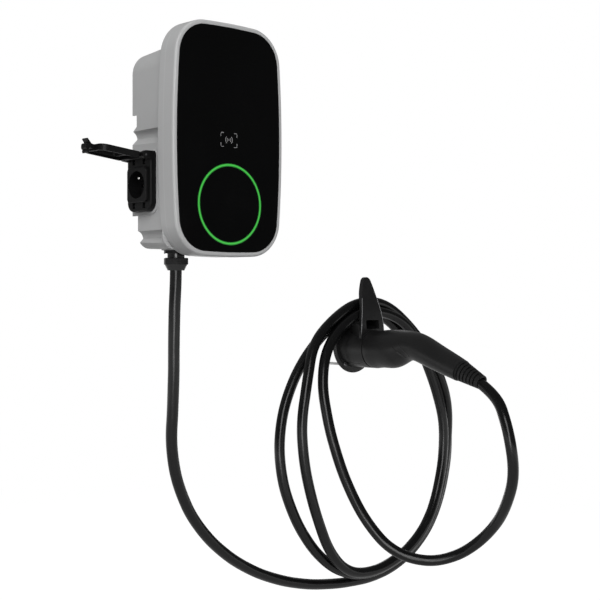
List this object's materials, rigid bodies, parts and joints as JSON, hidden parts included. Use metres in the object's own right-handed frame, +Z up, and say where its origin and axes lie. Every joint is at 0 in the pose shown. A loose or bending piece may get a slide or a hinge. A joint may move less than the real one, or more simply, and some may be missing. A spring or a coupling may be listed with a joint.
{
  "type": "ev wallbox",
  "caption": "Wall charging box for an electric car with a glass front, light ring, lidded side socket, tethered cable wound over a wall holster and a plug resting in it.",
  "frame": {"origin": "on the wall, straight behind the centre of the box's front glass", "axes": "+X along the wall towards the holster, to the right for someone facing the box; +Y into the wall; +Z up. The box stands out along -Y."},
  "size_m": [0.8006, 0.3874, 0.8878],
  "materials": {
    "housing_grey": "fine texture",
    "black_glass": "polished",
    "light_ring_green": "satin",
    "black_plastic": "satin",
    "black_rubber": "satin",
    "cable_black": "satin",
    "bracket_black": "powder coat",
    "zinc_steel": "zinc plated",
    "dark_steel": "black oxide",
    "contact_silver": "silver plated",
    "board_green": "lacquered",
    "led_white": "clear",
    "relay_black": "moulded",
    "terminal_grey": "moulded",
    "breaker_white": "moulded"
  },
  "bodies": {
    "box": {"front_glass": "black_glass", "light_ring": "light_ring_green", "ring_leds": "led_white", "ring_light_board": "board_green", "card_reader_board": "board_green", "front_bezel": "housing_grey", "housing_gasket": "black_rubber", "rear_housing": "housing_grey", "cover_screws": "zinc_steel", "wall_bracket": "bracket_black", "main_board": "board_green", "board_screws": "zinc_steel", "power_relays": "relay_black", "terminal_block": "terminal_grey", "din_rail": "zinc_steel", "socket_breaker": "breaker_white", "socket_frame": "black_plastic", "socket_gasket": "black_rubber", "socket_screws": "dark_steel", "socket_insert": "black_plastic", "socket_contacts": "contact_silver", "socket_earth_pin": "contact_silver", "lid_pin": "zinc_steel", "gland_body": "black_plastic", "gland_locknut": "black_plastic", "gland_seal": "black_rubber", "gland_nut": "black_plastic", "cable_holster": "black_plastic", "holster_screws": "dark_steel", "plug_shell_left": "black_plastic", "plug_shell_right": "black_plastic", "plug_nose": "black_plastic", "plug_contacts": "contact_silver", "plug_boot": "black_rubber", "charging_cable": "cable_black"},
    "lid": {"socket_lid": "black_plastic", "lid_seal": "black_rubber"}
  },
  "joints": [
    {"name": "socket_lid_hinge", "type": "hinge", "parent": "box", "child": "lid", "pos_m": [-0.112, -0.037, -0.025], "axis": [0, 1, 0], "range_deg": [-96.5, 0]}
  ]
}
